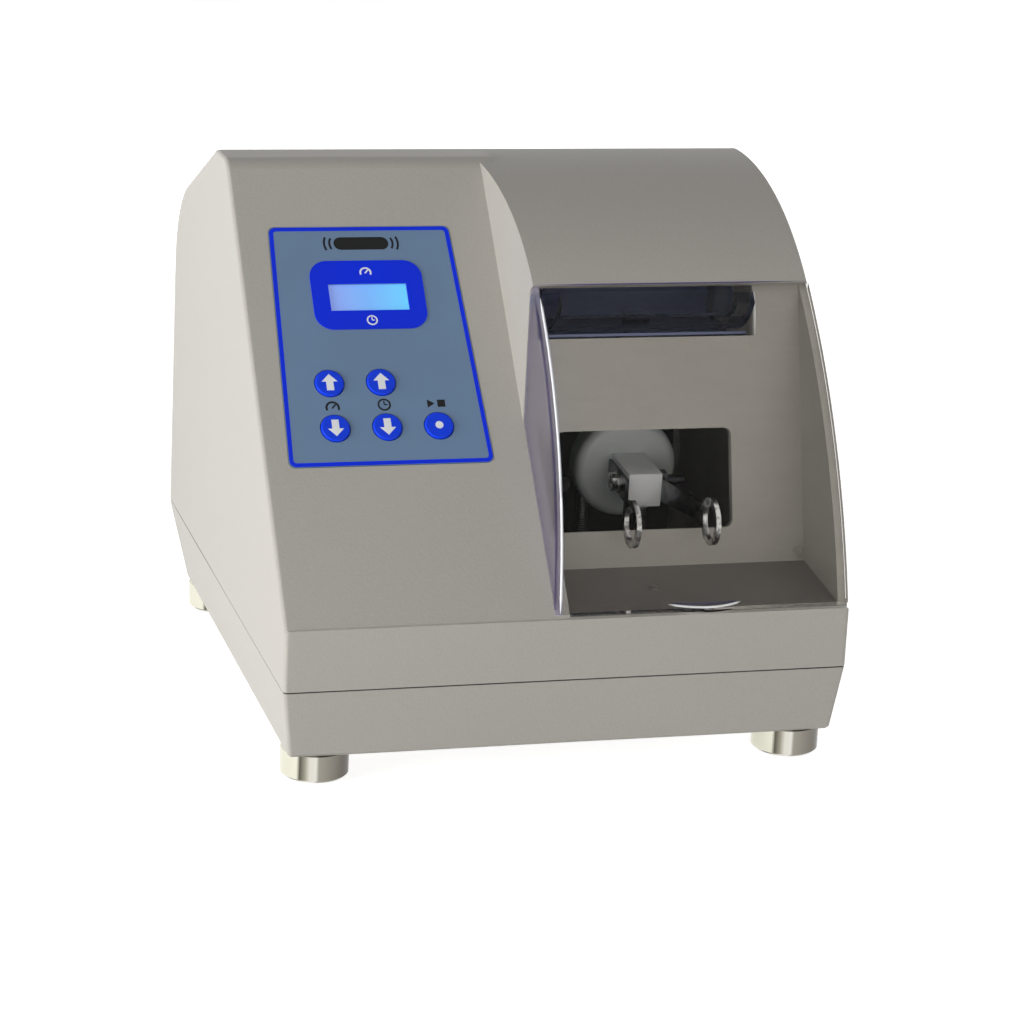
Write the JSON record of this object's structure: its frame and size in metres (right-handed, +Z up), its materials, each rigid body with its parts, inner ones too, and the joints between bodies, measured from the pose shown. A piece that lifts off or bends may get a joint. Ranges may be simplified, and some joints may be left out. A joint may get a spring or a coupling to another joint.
{
  "type": "dental amalgamator",
  "caption": "Bench-top capsule mixer: sloped keypad face, curved hinged clear lid, and a motor-shaken spring fork that swings a capsule behind a window.",
  "frame": {"origin": "centre of the bounding box on the plane under the rubber pads", "axes": "+X to the user's right, +Y to the rear, +Z up"},
  "size_m": [0.21, 0.244, 0.2011],
  "materials": {
    "case_grey": "satin",
    "smoke_clear": "polished, clear",
    "panel_film": "satin film",
    "panel_blue": "satin film",
    "key_blue": "satin",
    "clear_window": "clear",
    "display_glass": "satin",
    "board_green": "solder mask",
    "black_plastic": "matt",
    "white_nylon": "moulded",
    "bright_steel": "bright plated",
    "spring_steel": "polished",
    "zinc_steel": "zinc plated",
    "bracket_paint": "matt paint",
    "motor_steel": "satin paint",
    "bell_aluminium": "cast",
    "core_steel": "laminated",
    "copper_winding": "enamelled",
    "pad_rubber": "matt",
    "magnet_grey": "nickel",
    "component_mix": "sleeved"
  },
  "bodies": {
    "case": {"base_tray": "case_grey", "upper_housing": "case_grey", "case_screws": "zinc_steel", "foot_front_left": "bright_steel", "foot_front_right": "bright_steel", "foot_rear_left": "bright_steel", "foot_rear_right": "bright_steel", "foot_pads": "pad_rubber", "foot_screws": "zinc_steel", "liner_screws": "bright_steel", "keypad_panel": "panel_film", "display_bezel": "panel_blue", "display_window": "clear_window", "display_module": "display_glass", "control_board": "board_green", "tact_switches": "black_plastic", "board_screws": "zinc_steel", "lid_sensor": "black_plastic", "hinge_pins": "spring_steel", "pin_clips": "spring_steel", "motor_can": "motor_steel", "motor_front_bell": "bell_aluminium", "motor_rear_bell": "bell_aluminium", "motor_bearings": "spring_steel", "motor_screws": "zinc_steel", "motor_bracket": "bracket_paint", "bracket_mounts": "pad_rubber", "bracket_screws": "zinc_steel", "spring_left": "spring_steel", "spring_right": "spring_steel", "mains_inlet": "black_plastic", "inlet_pins": "bright_steel", "inlet_screws": "zinc_steel", "fuse_holder": "black_plastic", "fuse_cap": "black_plastic", "rocker_frame": "black_plastic", "power_board": "board_green", "transformer_core": "core_steel", "transformer_coil": "copper_winding", "power_components": "component_mix"},
    "lid": {"lid": "smoke_clear", "lid_magnet": "magnet_grey"},
    "rotor": {"rotor_shaft": "spring_steel", "armature": "core_steel", "bearing_inner": "spring_steel"},
    "swing_head": {"swing_head": "white_nylon", "clip_left": "spring_steel", "clip_right": "spring_steel", "clamp_screw": "zinc_steel", "clamp_washers": "zinc_steel", "clamp_nut": "zinc_steel", "bearing_outer": "spring_steel", "bearing_balls": "spring_steel"},
    "rocker": {"power_rocker": "black_plastic"},
    "key_speed_up": {"key_speed_up": "key_blue"},
    "key_speed_down": {"key_speed_down": "key_blue"},
    "key_timer_up": {"key_timer_up": "key_blue"},
    "key_timer_down": {"key_timer_down": "key_blue"},
    "key_start_stop": {"key_start_stop": "key_blue"}
  },
  "joints": [
    {"name": "lid_hinge", "type": "hinge", "parent": "case", "child": "lid", "pos_m": [0.0458, -0.035, 0.171], "axis": [-1, 0, 0], "range_deg": [0, 75]},
    {"name": "speed_up_press", "type": "slide", "parent": "case", "child": "key_speed_up", "axis": [0, 0.7341, -0.6791], "range_m": [0, 0.0005], "stiffness_N_per_m": 4000},
    {"name": "speed_down_press", "type": "slide", "parent": "case", "child": "key_speed_down", "axis": [0, 0.7341, -0.6791], "range_m": [0, 0.0005], "stiffness_N_per_m": 4000},
    {"name": "timer_up_press", "type": "slide", "parent": "case", "child": "key_timer_up", "axis": [0, 0.7341, -0.6791], "range_m": [0, 0.0005], "stiffness_N_per_m": 4000},
    {"name": "timer_down_press", "type": "slide", "parent": "case", "child": "key_timer_down", "axis": [0, 0.7341, -0.6791], "range_m": [0, 0.0005], "stiffness_N_per_m": 4000},
    {"name": "start_stop_press", "type": "slide", "parent": "case", "child": "key_start_stop", "axis": [0, 0.7341, -0.6791], "range_m": [0, 0.0005], "stiffness_N_per_m": 4000},
    {"name": "power_switch", "type": "hinge", "parent": "case", "child": "rocker", "pos_m": [0.002, 0.116, 0.0521], "axis": [1, 0, 0], "range_deg": [0, 20]},
    {"name": "motor_spin", "type": "hinge", "parent": "case", "child": "rotor", "pos_m": [0.0458, -0.0245, 0.0886], "axis": [0, 1, 0], "continuous": true, "deforming": ["spring_left", "spring_right"]},
    {"name": "head_swing", "type": "hinge", "parent": "rotor", "child": "swing_head", "pos_m": [0.0458, -0.0245, 0.0886], "axis": [0, 0.9969, 0.0785], "continuous": true}
  ],
  "couplings": [
    {"joint": "head_swing", "follows": "motor_spin", "ratio": -1}
  ]
}
